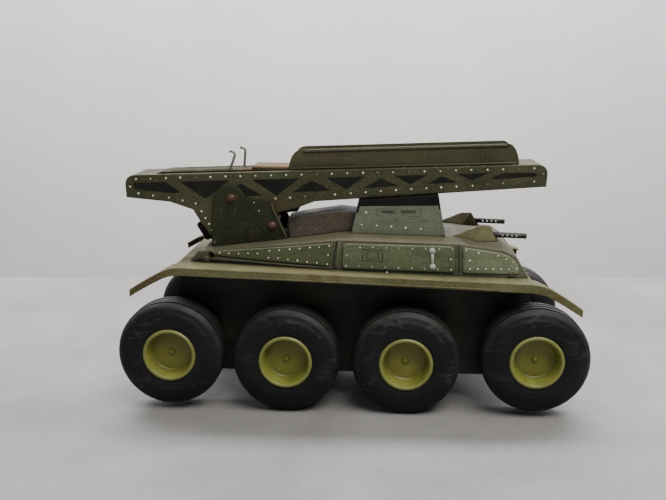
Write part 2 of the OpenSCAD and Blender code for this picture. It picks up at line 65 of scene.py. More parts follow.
# The turret's black band of painted shade, in metres: the slopes of its walls and roof, and where the band
# ends
TURRET_FOOT_Z, TURRET_FRONT_X = 0.0962, 0.054
REAR_SLOPE, FRONT_SLOPE, ROOF_SLOPE = 0.2194, 0.1732, 0.019
BAND_FOOT_Z, BAND_WOBBLE = 0.11225, 0.0005
REAR_STRIP_WIDTH, REAR_STRIP_FOOT_Z = 0.0014, 0.1089
FRONT_STRIP_WIDTH, FRONT_STRIP_FOOT_Z = 0.0011, 0.1112

# How a point of a face is found, in metres: the ray starts outside and looks inwards
RAY_START, RAY_LENGTH, NEAREST_START = 0.3, 0.6, 0.05

# How far a laid-on piece's edge and a dot's foot go into the surface, in millimetres
SINK, DOT_SINK = 0.04, 0.05

# The two coil springs, in millimetres
COIL_STEPS = 14
LAUNCH_COIL = {"start": 18.2, "end": 62.4, "radius": 2.2, "turns": 20, "centre_z": 6.5}
CATCH_TURNS, CATCH_RADIUS, CATCH_INSET, CATCH_SHARE = 5, 1.55, 0.4, 0.85


def turned(x, z, degrees):
    return Matrix.Translation(Vector((x, 0, z)) * MM) @ Matrix.Rotation(math.radians(degrees), 4, "Y")


WORLD = Matrix.Identity(4)
DECK = turned(0, DECK_Z, DECK_TILT)
GIRDER = turned(PIVOT_X, PIVOT_Z, -GIRDER_TILT)


# ---- materials ----

def linear(rgb):
    """Linear colour from sRGB bytes"""
    return tuple(((c / 255 + 0.055) / 1.055) ** 2.4 if c > 10 else c / 255 / 12.92 for c in rgb) + (1,)


class Shader:
    """A small builder for node trees. Everything is placed by object coordinates, in metres."""

    def __init__(self, name):
        self.mat = bpy.data.materials.new(name)
        self.mat.use_nodes = True
        self.tree = self.mat.node_tree
        self.tree.nodes.clear()
        out = self.add("ShaderNodeOutputMaterial")
        self.bsdf = self.add("ShaderNodeBsdfPrincipled")
        self.join(self.bsdf.outputs[0], out.inputs[0])
        self.place = self.add("ShaderNodeTexCoord").outputs["Object"]

    def add(self, kind, **settings):
        node = self.tree.nodes.new(kind)
        for key, value in settings.items():
            setattr(node, key, value)
        return node

    def join(self, source, target):
        self.tree.links.new(source, target)

    def put(self, socket, value):
        if hasattr(value, "is_output"):
            self.join(value, socket)
        else:
            socket.default_value = value

    def stretched(self, scale, offset=(0, 0, 0), turn=(0, 0, 0)):
        node = self.add("ShaderNodeMapping")
        self.join(self.place, node.inputs[0])
        node.inputs["Scale"].default_value = scale
        node.inputs["Location"].default_value = offset
        node.inputs["Rotation"].default_value = turn
        return node.outputs[0]

    def noise(self, scale, detail=4.0, rough=0.55, warp=0.0, at=None):
        node = self.add("ShaderNodeTexNoise")
        self.join(at or self.place, node.inputs["Vector"])
        node.inputs["Scale"].default_value = scale
        node.inputs["Detail"].default_value = detail
        node.inputs["Roughness"].default_value = rough
        node.inputs["Distortion"].default_value = warp
        return node.outputs["Fac"]

    def cells(self, scale, at=None):
        node = self.add("ShaderNodeTexVoronoi")
        self.join(at or self.place, node.inputs["Vector"])
        node.inputs["Scale"].default_value = scale
        return node.outputs["Distance"]

    def ramp(self, value, stops, colours=False):
        """stops: (position, grey) or (position, sRGB colour)"""
        node = self.add("ShaderNodeValToRGB")
        self.join(value, node.inputs[0])
        elements = node.color_ramp.elements
        while len(elements) < len(stops):
            elements.new(1.0)
        for element, (position, shade) in zip(elements, stops):
            element.position = position
            element.color = linear(shade) if colours else (shade, shade, shade, 1)
        return node.outputs[0]

    def math(self, how, a, b=0.0, c=None):
        node = self.add("ShaderNodeMath", operation=how)
        self.put(node.inputs[0], a)
        self.put(node.inputs[1], b)
        if c is not None:
            self.put(node.inputs[2], c)
        return node.outputs[0]

    def mix(self, factor, a, b):
        # Inputs 6 and 7 and output 2 are this node's colour sockets
        node = self.add("ShaderNodeMix", data_type="RGBA")
        self.put(node.inputs[0], factor)
        for socket, value in ((node.inputs[6], a), (node.inputs[7], b)):
            self.put(socket, value if hasattr(value, "is_output") else linear(value))
        return node.outputs[2]

    def facing_up(self):
        node = self.add("ShaderNodeNewGeometry")
        parts = self.add("ShaderNodeSeparateXYZ")
        self.join(node.outputs["Normal"], parts.inputs[0])
        return parts.outputs[2]

    def along(self, axis):
        parts = self.add("ShaderNodeSeparateXYZ")
        self.join(self.place, parts.inputs[0])
        return parts.outputs["XYZ".index(axis)]

    def edges(self, radius):
        """1 on corners and rims, 0 on flats, and the rounded normal"""
        bevel = self.add("ShaderNodeBevel", samples=5)
        bevel.inputs["Radius"].default_value = radius * MM
        plain = self.add("ShaderNodeNewGeometry")
        dot = self.add("ShaderNodeVectorMath", operation="DOT_PRODUCT")
        self.join(bevel.outputs[0], dot.inputs[0])
        self.join(plain.outputs["Normal"], dot.inputs[1])
        return self.math("SUBTRACT", 1.0, dot.outputs["Value"]), bevel.outputs[0]

    def crevices(self, distance):
        node = self.add("ShaderNodeAmbientOcclusion", samples=4)
        node.inputs["Distance"].default_value = distance * MM
        return node.outputs["AO"]

    def bump(self, heights, normal=None):
        """heights: (value, strength, distance in mm)"""
        for value, strength, distance in heights:
            node = self.add("ShaderNodeBump")
            node.inputs["Strength"].default_value = strength
            node.inputs["Distance"].default_value = distance * MM
            self.join(value, node.inputs["Height"])
            if normal is not None:
                self.join(normal, node.inputs["Normal"])
            normal = node.outputs[0]
        self.join(normal, self.bsdf.inputs["Normal"])

    def finish(self, colour, roughness, metallic=0.0, **uniform):
        self.put(self.bsdf.inputs["Base Color"], colour)
        self.put(self.bsdf.inputs["Roughness"], roughness)
        self.put(self.bsdf.inputs["Metallic"], metallic)
        for key, value in uniform.items():
            self.bsdf.inputs[key.replace("_", " ")].default_value = value
        return self.mat


def tin(name, shades, worn=(98, 91, 66), rust=(66, 45, 31), rust_from=0.6, dust_and_top_shade=0.3, edge=0.5,
        radius=0.7, rough=(0.42, 0.62), dirt_and_shade=0.6, fade=None, rust_amount=0.5, mask=None, shine=0.25,
        dust_and_top_shade_colour=(96, 90, 73)):
    """Old painted tin: blotchy paint, rust, chips, scratches, grime and painted shade in corners, a dusty
    top that is painted shade where its colour is darker, worn edges
    """
    s = Shader(name)
    cloud = s.noise(22, 5, 0.6, 0.4)
    colour = s.ramp(cloud, [(0.3, shades[0]), (0.5, shades[1]), (0.7, shades[2])], colours=True)
    if fade:
        axis, start, end, shade = fade
        span = s.math("MULTIPLY_ADD", s.along(axis), 1 / ((end - start) * MM), -start / (end - start))
        wobble = s.math("MULTIPLY_ADD", s.noise(60, 3), 0.5, -0.25)
        span = s.math("ADD", span, wobble)
        colour = s.mix(s.ramp(span, [(0.0, 0.0), (1.0, 1.0)]), colour, shade)
    grain = s.noise(900, 3, 0.7)
    colour = s.mix(s.ramp(grain, [(0.35, 0.0), (0.75, 0.4)]), colour,
                   tuple(int(c * 1.35 + 8) for c in shades[2]))
    streak = s.noise(30, 3, 0.6, 0.0, s.stretched((1, 1, 9)))
    colour = s.mix(s.ramp(streak, [(0.5, 0.0), (0.8, 0.35)]), colour,
                   tuple(int(c * 0.55) for c in shades[0]))
    # Up-facing surfaces take one more colour: pale dust with the default, painted shade on the tops where
    # that colour is darker than the paint
    up = s.facing_up()
    dust_and_painted_light = s.math("MULTIPLY", s.ramp(up, [(0.35, 0.0), (0.95, 1.0)]),
                   s.ramp(s.noise(70, 5, 0.7), [(0.3, 0.2), (0.7, 1.0)]))
    colour = s.mix(s.math("MULTIPLY", dust_and_painted_light, dust_and_top_shade), colour, dust_and_top_shade_colour)
    ridge, rounded = s.edges(radius)
    wear = s.math("MULTIPLY", s.ramp(ridge, [(0.02, 0.0), (0.16, 1.0)]),
                  s.ramp(s.noise(160, 5, 0.7), [(0.38, 0.0), (0.62, 1.0)]))
    colour = s.mix(s.math("MULTIPLY", wear, edge), colour, worn)
    rust_spread = s.noise(48, 6, 0.68, 0.3)
    rust_grain = s.noise(420, 4, 0.7)
    rusty = s.ramp(s.math("MULTIPLY_ADD", rust_grain, 0.18, rust_spread),
                   [(rust_from + 0.06, 0.0), (rust_from + 0.16, 1.0)])
    rust_shade = s.mix(s.noise(500, 3), rust, tuple(min(255, int(c * 1.5)) for c in rust))
    colour = s.mix(s.math("MULTIPLY", rusty, rust_amount), colour, rust_shade)
    chips = s.math("MULTIPLY", s.ramp(s.cells(330), [(0.05, 1.0), (0.13, 0.0)]),
                   s.ramp(s.noise(85, 3), [(0.52, 0.0), (0.6, 1.0)]))
    colour = s.mix(s.math("MULTIPLY", chips, 0.75), colour, (128, 124, 98))
    scratch = s.ramp(s.noise(26, 2, 0.4, 0.2, s.stretched((1.2, 1.2, 26), turn=(0.0, 0.35, 0.0))),
                     [(0.655, 0.0), (0.672, 1.0), (0.69, 0.0)])
    colour = s.mix(s.math("MULTIPLY", scratch, 0.28), colour, worn)
    # Darker in corners and crevices: grime, and painted shade where parts meet and overhang
    corner = s.ramp(s.crevices(7), [(0.35, 1.0), (0.85, 0.0)])
    colour = s.mix(s.math("MULTIPLY", corner, dirt_and_shade), colour, (14, 13, 10))
    # A mask paints near-black: on the turret, the painted shade under the girder
    if mask:
        colour = s.mix(s.math("MULTIPLY", mask(s), 0.97), colour, (2, 2, 2))
    gloss = s.ramp(s.noise(120, 4), [(0.3, rough[0]), (0.7, rough[1])])
    gloss = s.math("MAXIMUM", gloss, s.math("MULTIPLY", s.math("MAXIMUM", rusty, dust_and_painted_light), 0.78))
    s.bump([(s.noise(28, 3), 0.35, 0.9), (s.noise(750, 3), 0.16, 0.12),
            (s.math("ADD", rusty, chips), 0.22, 0.1)], rounded)
    return s.finish(colour, gloss, Specular_IOR_Level=shine)


def print_paint(name, shades, wear=0.5, rough=0.5, speckle=0.6):
    """A printed or dabbed coat that has partly rubbed off"""
    s = Shader(name)
    colour = s.ramp(s.noise(60, 5, 0.65), [(0.32, shades[0]), (0.52, shades[1]), (0.72, shades[2])],
                    colours=True)
    worn_off = s.ramp(s.noise(240, 5, 0.75), [(speckle, 0.0), (speckle + 0.08, 1.0)])
    colour = s.mix(s.math("MULTIPLY", worn_off, wear), colour, (58, 58, 40))
    up = s.ramp(s.facing_up(), [(0.5, 0.0), (1.0, 0.2)])
    colour = s.mix(up, colour, (100, 95, 80))
    s.bump([(s.noise(800, 3), 0.15, 0.1), (worn_off, 0.15, 0.06)])
    return s.finish(colour, s.ramp(s.noise(150, 3), [(0.3, rough - 0.08), (0.7, rough + 0.12)]),
                    Specular_IOR_Level=0.3)


def metal(name, shades, metallic=0.8, rough=(0.32, 0.55), rust=0.62, radius=0.25):
    """Worn bare or plated metal with rust in patches"""
    s = Shader(name)
    colour = s.ramp(s.noise(180, 5, 0.65), [(0.3, shades[0]), (0.5, shades[1]), (0.72, shades[2])],
                    colours=True)
    rusty = s.ramp(s.noise(130, 6, 0.7, 0.4), [(rust, 0.0), (rust + 0.1, 1.0)])
    colour = s.mix(s.math("MULTIPLY", rusty, 0.85), colour, (84, 54, 38))
    corner = s.ramp(s.crevices(2.5), [(0.3, 1.0), (0.85, 0.0)])
    colour = s.mix(s.math("MULTIPLY", corner, 0.5), colour, (26, 22, 18))
    _, rounded = s.edges(radius)
    fine = s.noise(1500, 3, 0.7, 0.0, s.stretched((1, 1, 4)))
    s.bump([(fine, 0.2, 0.06), (rusty, 0.3, 0.1)], rounded)
    gloss = s.math("MAXIMUM", s.ramp(s.noise(300, 3), [(0.3, rough[0]), (0.7, rough[1])]),
                   s.math("MULTIPLY", rusty, 0.8))
    return s.finish(colour, gloss, s.math("MULTIPLY", s.math("SUBTRACT", 1.0, rusty), metallic))


def wheel_radius(s, index):
    """Distance from the wheel's axle, in millimetres"""
    centred = s.add("ShaderNodeVectorMath", operation="SUBTRACT")
    s.join(s.place, centred.inputs[0])
    centred.inputs[1].default_value = (AXLE_X[index] * MM, 0, AXLE_Z[index] * MM)
    flat = s.add("ShaderNodeVectorMath", operation="MULTIPLY")
    s.join(centred.outputs[0], flat.inputs[0])
    flat.inputs[1].default_value = (1, 0, 1)
    length = s.add("ShaderNodeVectorMath", operation="LENGTH")
    s.join(flat.outputs[0], length.inputs[0])
    return s.math("MULTIPLY", length.outputs["Value"], 1 / MM)


def rubber(index):
    """Old black rubber: grey bloom, scuffed shoulders, a dusty tread that also carries a painted
    highlight, faint moulding rings, and painted shade: darker crevices and the painted shadow of the
    fender on the top of the tread
    """
    s = Shader("rubber_%d" % (index + 1))
    radius = wheel_radius(s, index)
    outward = s.math("MULTIPLY", radius, 1 / TYRE_SPAN)
    colour = s.ramp(s.noise(40, 6, 0.65, 0.3), [(0.3, (7, 7, 9)), (0.5, (11, 11, 13)),
                                                (0.72, (18, 18, 20))], colours=True)
    scuff = s.noise(75, 6, 0.75, 1.2, s.stretched((1, 1, 2.2), offset=(index * 0.31, 0, 0)))
    on_wall = s.ramp(outward, [(0.36, 0.2), (0.5, 0.55), (0.62, 1.0), (0.68, 0.7)])
    scuffed = s.math("MULTIPLY", s.ramp(scuff, [(0.54, 0.0), (0.68, 1.0)]), on_wall)
    colour = s.mix(s.math("MULTIPLY", scuffed, 0.7), colour, (62, 62, 58))
    # A paler tread: dust, and a painted highlight on the tread
    tread = s.ramp(outward, [(0.66, 0.0), (0.735, 1.0)])
    dust_and_painted_light = s.math("MULTIPLY", tread, s.ramp(s.noise(140, 5, 0.7), [(0.35, 0.1), (0.7, 0.75)]))
    colour = s.mix(s.math("MULTIPLY", dust_and_painted_light, 0.6), colour, (72, 71, 64))
    specks = s.math("MULTIPLY", s.ramp(s.cells(260), [(0.03, 1.0), (0.09, 0.0)]),
                    s.ramp(s.noise(60, 2), [(0.56, 0.0), (0.62, 1.0)]))
    colour = s.mix(s.math("MULTIPLY", specks, 0.6), colour, (140, 138, 130))
    # Darker in crevices, and much darker where the fender overhangs: painted shade, and the painted shadow
    # of the fender on the top of the tread
    corner = s.ramp(s.crevices(3), [(0.3, 1.0), (0.8, 0.0)])
    fender_shadow = s.ramp(s.crevices(26), [(0.4, 1.0), (0.88, 0.0)])
    corner = s.math("MAXIMUM", s.math("MULTIPLY", corner, 0.6), s.math("MULTIPLY", fender_shadow, 0.85))
    colour = s.mix(corner, colour, (3, 3, 3))
    rings = s.math("SINE", s.math("MULTIPLY", radius, 2.9))
    rings = s.math("MULTIPLY", s.ramp(rings, [(0.8, 0.0), (1.0, 1.0)]),
                   s.ramp(outward, [(0.52, 0.0), (0.56, 1.0), (0.64, 1.0), (0.66, 0.0)]))
    _, rounded = s.edges(0.5)
    s.bump([(s.noise(60, 4), 0.3, 0.5), (s.noise(1100, 3), 0.22, 0.09), (rings, 0.35, 0.15)], rounded)
    gloss = s.ramp(s.noise(90, 4), [(0.3, 0.44), (0.7, 0.64)])
    gloss = s.math("ADD", gloss, s.math("MULTIPLY", s.math("MAXIMUM", dust_and_painted_light, scuffed), 0.25))
    return s.finish(colour, gloss, Specular_IOR_Level=0.28)


def hub_plastic(index):
    """Olive-green moulded plastic with grime and painted shade towards the foot of the dish, and painted
    light on its rim
    """
    s = Shader("hub_%d" % (index + 1))
    outward = s.math("MULTIPLY", wheel_radius(s, index), 1 / HUB_SPAN)
    tint = 2 * (index % 2)
    colour = s.ramp(s.noise(90, 4, 0.6), [(0.3, (92, 93 + tint, 33)), (0.5, (107, 108 + tint, 42)),
                                          (0.72, (122, 124, 56))], colours=True)
    disc = s.ramp(outward, [(0.6, 1.0), (0.72, 0.0)])
    colour = s.mix(s.math("MULTIPLY", disc, 0.45), colour, (124, 118, 38))
    # Darker towards the foot of the dish: grime and painted shade
    corner = s.ramp(s.crevices(4.5), [(0.35, 1.0), (0.9, 0.0)])
    corner = s.math("MULTIPLY", corner, s.ramp(s.noise(120, 5, 0.7), [(0.3, 0.6), (0.7, 1.0)]))
    colour = s.mix(s.math("MULTIPLY", corner, 0.4), colour, (40, 35, 10))
    ridge, rounded = s.edges(0.45)
    wear = s.math("MULTIPLY", s.ramp(ridge, [(0.01, 0.0), (0.12, 1.0)]),
                  s.ramp(s.noise(200, 4), [(0.4, 0.3), (0.65, 1.0)]))
    # A lighter, paler rim: painted light on the raised rim
    rim = s.ramp(outward, [(0.82, 0.0), (0.92, 1.0)])
    colour = s.mix(s.math("MULTIPLY", rim, 0.45), colour, (126, 127, 76))
    colour = s.mix(s.math("MULTIPLY", wear, 0.5), colour, (152, 152, 108))
    dirt_and_shade = s.math("MULTIPLY", s.ramp(s.cells(300), [(0.04, 1.0), (0.1, 0.0)]),
                  s.ramp(s.noise(90, 3), [(0.52, 0.0), (0.6, 1.0)]))
    colour = s.mix(s.math("MULTIPLY", dirt_and_shade, 0.55), colour, (52, 46, 24))
    s.bump([(s.noise(260, 4), 0.2, 0.15), (s.noise(1400, 2), 0.12, 0.05)], rounded)
    return s.finish(colour, s.ramp(s.noise(140, 4), [(0.3, 0.36), (0.7, 0.56)]), Specular_IOR_Level=0.45)


def perforated(name):
    """Blackened barrel jacket with pale specks: painted light, the light that shows through the jacket's
    holes
    """
    s = Shader(name)
    colour = s.ramp(s.noise(200, 4), [(0.3, (22, 21, 19)), (0.55, (38, 36, 32)),
                                      (0.75, (74, 69, 62))], colours=True)
    # Pale specks: painted light through the jacket's holes
    specks = s.ramp(s.cells(520), [(0.1, 1.0), (0.24, 0.0)])
    specks = s.math("MULTIPLY", specks, s.ramp(s.noise(160, 3), [(0.42, 0.0), (0.55, 1.0)]))
    colour = s.mix(s.math("MULTIPLY", specks, 0.75), colour, (170, 162, 148))
    _, rounded = s.edges(0.3)
    s.bump([(s.noise(900, 3), 0.25, 0.1)], rounded)
    return s.finish(colour, s.ramp(s.noise(300, 3), [(0.3, 0.4), (0.7, 0.6)]), 0.35)


def chassis_paint(name):
    """Black underside with old olive overspray; the black is partly painted shade, standing for the shade
    under the fenders
    """
    s = Shader(name)
    colour = s.ramp(s.noise(30, 5, 0.65), [(0.42, (7, 7, 6)), (0.53, (14, 15, 9)),
                                           (0.66, (46, 49, 26))], colours=True)
    rusty = s.ramp(s.noise(90, 6, 0.7), [(0.64, 0.0), (0.74, 1.0)])
    colour = s.mix(s.math("MULTIPLY", rusty, 0.5), colour, (66, 46, 32))
    _, rounded = s.edges(0.5)
    s.bump([(s.noise(30, 3), 0.3, 0.8), (s.noise(700, 3), 0.15, 0.1)], rounded)
    return s.finish(colour, s.ramp(s.noise(120, 3), [(0.3, 0.5), (0.7, 0.7)]))


def turret_painted_shade(s):
    """1 where the turret is painted black as painted shade under the girder: a band under its top, lower
    at the corners
    """
    wobble = s.math("MULTIPLY_ADD", s.noise(900, 2), BAND_WOBBLE, -BAND_WOBBLE / 2)
    height = s.math("ADD", s.along("Z"), wobble)
    level = s.math("MULTIPLY_ADD", s.along("X"), -ROOF_SLOPE, height)
    top_band = s.math("GREATER_THAN", level, BAND_FOOT_Z)
    ahead = s.math("ADD", s.along("X"), REAR_SLOPE * TURRET_FOOT_Z)
    from_rear = s.math("MULTIPLY_ADD", height, -REAR_SLOPE, ahead)
    behind = s.math("MULTIPLY_ADD", s.along("X"), -1.0, TURRET_FRONT_X + FRONT_SLOPE * TURRET_FOOT_Z)
    from_front = s.math("MULTIPLY_ADD", height, -FRONT_SLOPE, behind)
    rear_strip = s.math("MULTIPLY", s.math("LESS_THAN", from_rear, REAR_STRIP_WIDTH),
                        s.math("GREATER_THAN", height, REAR_STRIP_FOOT_Z))
    front_strip = s.math("MULTIPLY", s.math("LESS_THAN", from_front, FRONT_STRIP_WIDTH),
                         s.math("GREATER_THAN", height, FRONT_STRIP_FOOT_Z))
    return s.math("MAXIMUM", top_band, s.math("MAXIMUM", rear_strip, front_strip))


HULL = tin("paint_hull", [(44, 48, 33), (58, 61, 43), (76, 76, 56)], rust_from=0.62,
           fade=("Z", 91, 98, (66, 57, 45)), radius=1.1)
PANEL = tin("paint_panel", [(52, 61, 41), (66, 74, 51), (82, 89, 64)], rust_from=0.69, radius=0.8,
            dirt_and_shade=0.5, rust_amount=0.4)
PANEL_FRONT = tin("paint_panel_front", [(62, 70, 50), (76, 84, 60), (92, 98, 74)], rust_from=0.67,
                  radius=0.8, dirt_and_shade=0.5, rust_amount=0.4)
PANEL_REAR = tin("paint_panel_rear", [(44, 50, 33), (56, 61, 41), (72, 75, 53)], rust_from=0.65,
                 radius=0.8, dirt_and_shade=0.5)
ROOF = tin("paint_hump", [(32, 27, 20), (44, 37, 29), (70, 64, 54)], rust=(50, 37, 27),
           rust_from=0.58, dust_and_top_shade=0.3, radius=1.2, rust_amount=0.4, shine=0.15)
# The turret's mask paints a near-black band: painted shade under the girder
TURRET = tin("paint_turret", [(56, 62, 49), (70, 76, 62), (84, 89, 75)], rust_from=0.64, dust_and_top_shade=0.2,
             radius=0.9, rust_amount=0.4, mask=turret_painted_shade, shine=0.1,
             fade=("Z", 99.5, 94.5, (74, 66, 48)))
# Browner towards the rear: rust staining, and painted shadow of the launcher on the rear of the plate. The
# darker colour on up-facing surfaces is painted shade on the tops.
FENDER = tin("paint_fender", [(62, 64, 38), (84, 84, 56), (106, 103, 75)], rust=(70, 50, 33),
             rust_from=0.56, dust_and_top_shade=0.75, edge=0.75, radius=0.8, fade=("X", -86, -106, (60, 48, 31)),
             shine=0.08, dust_and_top_shade_colour=(54, 52, 36))
# The darker colour on up-facing surfaces is painted shade on the tops.
GIRDER_PAINT = tin("paint_girder", [(44, 47, 31), (56, 58, 41), (70, 70, 52)], rust_from=0.62,
                   dust_and_top_shade=0.5, edge=0.6, radius=1.3, shine=0.08, dust_and_top_shade_colour=(52, 50, 36))
# The darker colour on up-facing surfaces is painted shade on the tops.
COVER = tin("paint_cover", [(36, 39, 27), (46, 48, 34), (58, 57, 43)], rust_from=0.58, dust_and_top_shade=0.5,
            fade=("X", -84, -50, (58, 46, 33)), shine=0.02, dust_and_top_shade_colour=(38, 33, 24))
# The darker colour on up-facing surfaces is painted shade on the tops.
STEP = tin("paint_step", [(60, 50, 36), (76, 62, 45), (92, 78, 58)], rust=(92, 50, 34),
           rust_from=0.54, dust_and_top_shade=0.3, radius=0.8, shine=0.05, dust_and_top_shade_colour=(70, 62, 44))
CRADLE = tin("paint_cradle", [(43, 44, 29), (56, 56, 38), (71, 69, 50)], rust_from=0.59, dust_and_top_shade=0.3,
             edge=0.6)
BRACKET = tin("paint_bracket", [(24, 28, 15), (31, 35, 20), (42, 45, 28)], rust_from=0.6, dust_and_top_shade=0.2,
              edge=0.35, radius=0.6)
SHIELD = tin("paint_shield", [(50, 51, 29), (66, 66, 40), (84, 82, 54)], rust_from=0.56, dust_and_top_shade=0.2,
             radius=0.9, shine=0.1)
LEVER = tin("paint_lever", [(10, 10, 9), (14, 14, 13), (24, 23, 20)], worn=(56, 52, 44),
            rust_from=0.66, dust_and_top_shade=0.1, edge=0.4, radius=0.4)
REST = tin("paint_rest", [(9, 9, 8), (13, 13, 12), (22, 21, 18)], worn=(56, 52, 44), rust_from=0.64,
           dust_and_top_shade=0.2, edge=0.4, radius=0.4)
CHASSIS = chassis_paint("paint_chassis")
COPPER = metal("copper", [(54, 37, 28), (76, 53, 40), (102, 76, 59)], metallic=0.35,
               rough=(0.45, 0.65), rust=0.6, radius=0.5)
STEEL = metal("steel", [(76, 74, 70), (106, 104, 98), (132, 130, 124)], metallic=0.8)
WIRE = metal("hook_wire", [(86, 82, 76), (114, 110, 103), (142, 138, 130)], metallic=0.35,
             rough=(0.35, 0.55), rust=0.64)
BRASS = metal("brass", [(106, 84, 42), (138, 114, 62), (168, 142, 86)], metallic=0.85, rust=0.72)
GUN = perforated("gun_steel")
# Near-black, for print, seams and slots, and for painted shade in gaps
BLACK = print_paint("black_print_and_painted_shade", [(3, 3, 3), (5, 5, 4), (9, 9, 8)], wear=0.3, rough=0.6, speckle=0.66)
TRUSS = print_paint("print_truss", [(10, 11, 9), (17, 18, 14), (28, 28, 20)], wear=0.45, rough=0.5,
                    speckle=0.6)
DOT = print_paint("print_dot", [(176, 175, 152), (208, 206, 186), (232, 230, 214)], wear=0.6,
                  rough=0.5, speckle=0.66)
DOT_FAINT = print_paint("print_dot_faint", [(78, 80, 60), (112, 112, 90), (146, 144, 120)],
                        wear=0.8, rough=0.55, speckle=0.5)
HANDLE = print_paint("print_handle", [(138, 138, 126), (162, 162, 150), (182, 182, 170)], wear=0.45,
                     rough=0.5, speckle=0.62)
LINE = print_paint("print_line", [(28, 32, 23), (38, 42, 30), (54, 58, 42)], wear=0.6, rough=0.5,
                   speckle=0.48)
HEM = tin("paint_hem", [(68, 65, 43), (86, 82, 57), (108, 102, 76)], rust_from=0.56, dust_and_top_shade=0.3,
          edge=0.6, radius=0.5)
STAIN = tin("rust_stain", [(42, 36, 22), (54, 42, 27), (64, 47, 32)], rust_from=0.5, dust_and_top_shade=0.1,
            edge=0.1, radius=0.5)
FLANGE = tin("paint_flange", [(40, 42, 29), (54, 55, 39), (76, 74, 56)], rust_from=0.58, dust_and_top_shade=0.25,
             edge=0.6, radius=0.5)
TYRES = [rubber(i) for i in range(4)]
HUBS = [hub_plastic(i) for i in range(4)]

BY_NODE = {"chassis": CHASSIS, "fender_plate": FENDER, "hull_shell": HULL, "hump": ROOF,
           "turret": TURRET, "gun_shield_right": SHIELD, "gun_shield_left": SHIELD,
           "gun_barrel_right": GUN, "gun_barrel_left": GUN, "launcher_bracket": BRACKET,
           "pivot_rivet": COPPER, "spacer_rivet": COPPER, "catch_lever": LEVER,
           "girder": GIRDER_PAINT, "slide_cover": COVER, "cradle": CRADLE, "cradle_rivets": COPPER,
           "launch_hook_right": WIRE, "launch_hook_left": WIRE, "drive_gear": BRASS,
           "idler_gear": BRASS, "rest_pad": REST}
for name, node in nodes.items():
    material = BY_NODE.get(name, STEEL)
    if name.startswith("tyre"):
        material = TYRES[int(name.split("_")[1]) - 1]
    elif name.startswith("hub"):
        material = HUBS[int(name.split("_")[1]) - 1]
    node.data.materials.clear()
    node.data.materials.append(material)


# ---- pieces laid on the CAD surfaces ----

class Face:
    """One side of some CAD nodes, addressed by two coordinates of a frame, in millimetres"""

    def __init__(self, names, place, view, sign):
        points, faces = [], []
        for name in names:
            data = nodes[name].data
            start = len(points)
            points += [v.co.copy() for v in data.vertices]
            faces += [[start + i for i in p.vertices] for p in data.polygons]
        self.tree = BVHTree.FromPolygons(points, faces)
        self.place, self.view = place, view
        axis = {"side": (0, -sign, 0), "top": (0, 0, -sign), "end": (-sign, 0, 0)}[view]
        self.ray = (place.to_3x3() @ Vector(axis)).normalized()

    def at(self, u, v):
        local = {"side": (u, 0, v), "top": (u, v, 0), "end": (0, u, v)}[self.view]
        middle = self.place @ (Vector(local) * MM)
        hit, normal, _, _ = self.tree.ray_cast(middle - self.ray * RAY_START, self.ray, RAY_LENGTH)
        if hit is None:
            hit, normal, _, _ = self.tree.find_nearest(middle - self.ray * NEAREST_START)
        if normal.dot(self.ray) > 0:
            normal = -normal
        return hit, normal


def around(count):
    """Angles spaced evenly round a circle"""
    return [2 * math.pi * k / count for k in range(count)]


def add_piece(name, body, material, bm, smooth=True):
    data = bpy.data.meshes.new(name)
    bm.to_mesh(data)
    bm.free()
    for polygon in data.polygons:
        polygon.use_smooth = smooth
    data.materials.append(material)
    piece = bpy.data.objects.new(name, data)
    bpy.context.scene.collection.objects.link(piece)
    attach(piece, body)
    return piece


def rounded(points, radius, steps=4):
    """A polygon with its corners rounded; radius is one number or one per corner"""
    result = []
    count = len(points)
    for i, point in enumerate(points):
        here = Vector(point)
        before, after = Vector(points[i - 1]) - here, Vector(points[(i + 1) % count]) - here
        r = radius[i] if isinstance(radius, (list, tuple)) else radius
        reach = min(r, before.length * 0.45, after.length * 0.45)
        if reach < 0.05:
            result.append(tuple(here))
            continue
        a, b = here + before.normalized() * reach, here + after.normalized() * reach
        for k in range(steps + 1):
            t = k / steps
            result.append(tuple(a * (1 - t) ** 2 + here * 2 * t * (1 - t) + b * t ** 2))
    return result


def relief_into(bm, face, outline, lift, rim, cuts=(), steps=2, hold=0.0):
    """Adds a slab over an outline: it rises over the rim to its lift, and follows the surface"""
    part = bmesh.new()
    flat = part.faces.new([part.verts.new((u, v, -SINK)) for u, v in outline])
    for k in range(1, steps + 1):
        bmesh.ops.inset_individual(part, faces=[flat], thickness=rim / steps, use_even_offset=True)
        height = lift * math.sin(k / steps * math.pi / 2)
        for vert in flat.verts:
            vert.co.z = height
    if hold:
        bmesh.ops.inset_individual(part, faces=[flat], thickness=hold, use_even_offset=True)
    bmesh.ops.holes_fill(part, edges=[e for e in part.edges if e.is_boundary])
    for axis, position in cuts:
        where = (position, 0, 0) if axis == "u" else (0, position, 0)
        normal = (1, 0, 0) if axis == "u" else (0, 1, 0)
        bmesh.ops.bisect_plane(part, geom=part.verts[:] + part.edges[:] + part.faces[:],
                               plane_co=where, plane_no=normal)
    bmesh.ops.recalc_face_normals(part, faces=part.faces)
    for vert in part.verts:
        hit, normal = face.at(vert.co.x, vert.co.y)
        vert.co = hit + normal * (vert.co.z * MM)
    if part.calc_volume(signed=True) < 0:
        bmesh.ops.reverse_faces(part, faces=part.faces)
    data = bpy.data.meshes.new("scratch")
    part.to_mesh(data)
    part.free()
    bm.from_mesh(data)
    bpy.data.meshes.remove(data)


def relief(name, body, material, face, outlines, lift, rim, cuts=(), steps=2, hold=0.0):
    bm = bmesh.new()
    for outline in outlines:
        relief_into(bm, face, outline, lift, rim, cuts, steps, hold)
    return add_piece(name, body, material, bm, lift > 0.1)


